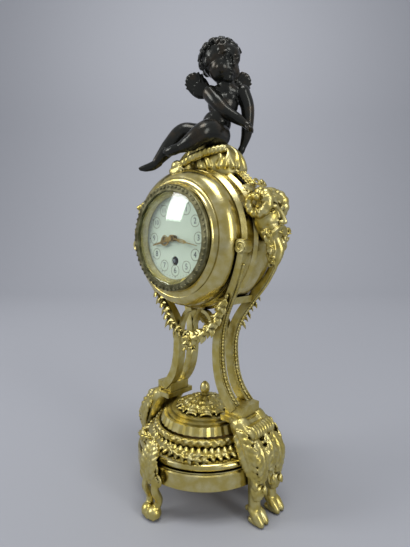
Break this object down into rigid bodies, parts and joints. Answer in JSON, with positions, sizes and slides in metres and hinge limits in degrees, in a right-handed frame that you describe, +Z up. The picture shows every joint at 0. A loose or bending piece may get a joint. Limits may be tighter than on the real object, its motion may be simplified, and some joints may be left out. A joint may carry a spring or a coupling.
{
  "type": "mantel clock",
  "caption": "Gilt-bronze mantel clock: level drum with a glazed dial between lyre uprights with satyr masks and goat legs, round fluted base, seated winged child on top.",
  "frame": {"origin": "floor under the clock's upright axis", "axes": "+Z up, dial faces -Y, +X to the right of the dial"},
  "size_m": [0.142, 0.1166, 0.3298],
  "materials": {
    "gilt_bronze": "satin fire gilding on cast bronze",
    "patinated_bronze": "dark brown-green patina, waxed",
    "movement_brass": "polished brass",
    "steel": "polished steel",
    "hand_gilt": "gilt brass, toned brown",
    "glass": "clear, domed",
    "enamel": "white enamel with painted numbers"
  },
  "bodies": {
    "case": {"base_band": "gilt_bronze", "base_roll": "gilt_bronze", "fluted_cove": "gilt_bronze", "leaf_roll": "gilt_bronze", "fluted_frieze": "gilt_bronze", "foliate_boss": "gilt_bronze", "boss_finial": "gilt_bronze", "front_foot": "gilt_bronze", "back_foot": "gilt_bronze", "right_satyr_legs": "gilt_bronze", "left_satyr_legs": "gilt_bronze", "right_upright": "gilt_bronze", "left_upright": "gilt_bronze", "right_mask": "gilt_bronze", "left_mask": "gilt_bronze", "laurel_swags": "gilt_bronze", "top_garlands": "gilt_bronze", "seat_cushion": "gilt_bronze", "seat_drapery": "gilt_bronze", "drum_case": "gilt_bronze", "front_moulding": "gilt_bronze", "putto": "patinated_bronze", "putto_wings": "patinated_bronze", "base_plate": "movement_brass", "case_straps": "movement_brass", "plate_pillars": "movement_brass", "front_plate": "movement_brass", "back_plate": "movement_brass", "base_rod": "steel", "putto_stud": "steel", "fixing_nuts": "steel", "mask_screws": "steel", "hinge_pins": "steel", "movement_screws": "steel", "dial": "enamel"},
    "bezel_door": {"bezel": "gilt_bronze", "bezel_glass": "glass", "dial_slip": "gilt_bronze"},
    "back_door": {"rear_door": "gilt_bronze", "door_knob": "gilt_bronze"},
    "minute_hands": {"minute_hand": "hand_gilt", "hand_nut": "hand_gilt", "cannon_pinion": "steel"},
    "hour_hands": {"hour_hand": "hand_gilt", "hour_wheel": "movement_brass"},
    "minute_wheel": {"minute_wheel": "movement_brass"},
    "centre_wheel": {"centre_wheel": "movement_brass"},
    "barrel": {"barrel": "movement_brass", "barrel_cover": "movement_brass", "mainspring": "steel"},
    "third_wheel": {"third_wheel": "movement_brass"},
    "fourth_wheel": {"fourth_wheel": "movement_brass"},
    "escape_wheel": {"escape_wheel": "movement_brass"},
    "winding": {"winding_arbor": "steel", "ratchet_wheel": "movement_brass"},
    "click": {"click": "steel"},
    "lever": {"pallet_lever": "steel"},
    "balance": {"balance_wheel": "movement_brass", "hairspring": "steel"}
  },
  "joints": [
    {"name": "bezel_hinge", "type": "hinge", "parent": "case", "child": "bezel_door", "pos_m": [-0.0379, -0.03335, 0.1877], "axis": [0, 0, -1], "range_deg": [0, 105]},
    {"name": "back_door_hinge", "type": "hinge", "parent": "case", "child": "back_door", "pos_m": [-0.0373, 0.02736, 0.1877], "axis": [0, 0, 1], "range_deg": [0, 105]},
    {"name": "hand_setting", "type": "hinge", "parent": "case", "child": "minute_hands", "pos_m": [0, -0.03, 0.1877], "axis": [0, 1, 0], "continuous": true},
    {"name": "hour_hand_turn", "type": "hinge", "parent": "case", "child": "hour_hands", "pos_m": [0, -0.03, 0.1877], "axis": [0, 1, 0], "continuous": true},
    {"name": "minute_wheel_turn", "type": "hinge", "parent": "case", "child": "minute_wheel", "pos_m": [-0.006, -0.026, 0.1877], "axis": [0, 1, 0], "continuous": true},
    {"name": "fourth_wheel_turn", "type": "hinge", "parent": "case", "child": "fourth_wheel", "pos_m": [0.00316, -0.014, 0.20262], "axis": [0, 1, 0], "continuous": true},
    {"name": "third_wheel_turn", "type": "hinge", "parent": "case", "child": "third_wheel", "pos_m": [-0.00567, -0.014, 0.19752], "axis": [0, 1, 0], "continuous": true},
    {"name": "centre_wheel_turn", "type": "hinge", "parent": "case", "child": "centre_wheel", "pos_m": [0, -0.014, 0.1877], "axis": [0, 1, 0], "continuous": true},
    {"name": "barrel_turn", "type": "hinge", "parent": "case", "child": "barrel", "pos_m": [0, -0.014, 0.1723], "axis": [0, 1, 0], "continuous": true},
    {"name": "escape_wheel_turn", "type": "hinge", "parent": "case", "child": "escape_wheel", "pos_m": [0.01228, -0.014, 0.20262], "axis": [0, 1, 0], "continuous": true},
    {"name": "winding_turn", "type": "hinge", "parent": "case", "child": "winding", "pos_m": [0, -0.014, 0.1723], "axis": [0, 1, 0], "continuous": true},
    {"name": "click_lift", "type": "hinge", "parent": "case", "child": "click", "pos_m": [0.00599, -0.025, 0.17698], "axis": [0, -1, 0], "range_deg": [0, 12]},
    {"name": "lever_swing", "type": "hinge", "parent": "case", "child": "lever", "pos_m": [0.01857, -0.014, 0.19735], "axis": [0, 1, 0], "range_deg": [-4, 4]},
    {"name": "balance_swing", "type": "hinge", "parent": "case", "child": "balance", "pos_m": [0.02307, -0.014, 0.18887], "axis": [0, 1, 0], "range_deg": [-140, 140]}
  ],
  "couplings": [
    {"joint": "hour_hand_turn", "follows": "hand_setting", "ratio": 0.083333},
    {"joint": "minute_wheel_turn", "follows": "hand_setting", "ratio": -0.33333},
    {"joint": "third_wheel_turn", "follows": "fourth_wheel_turn", "ratio": -0.13333},
    {"joint": "centre_wheel_turn", "follows": "fourth_wheel_turn", "ratio": 0.016667},
    {"joint": "barrel_turn", "follows": "fourth_wheel_turn", "ratio": -0.0018519},
    {"joint": "escape_wheel_turn", "follows": "fourth_wheel_turn", "ratio": -7}
  ]
}
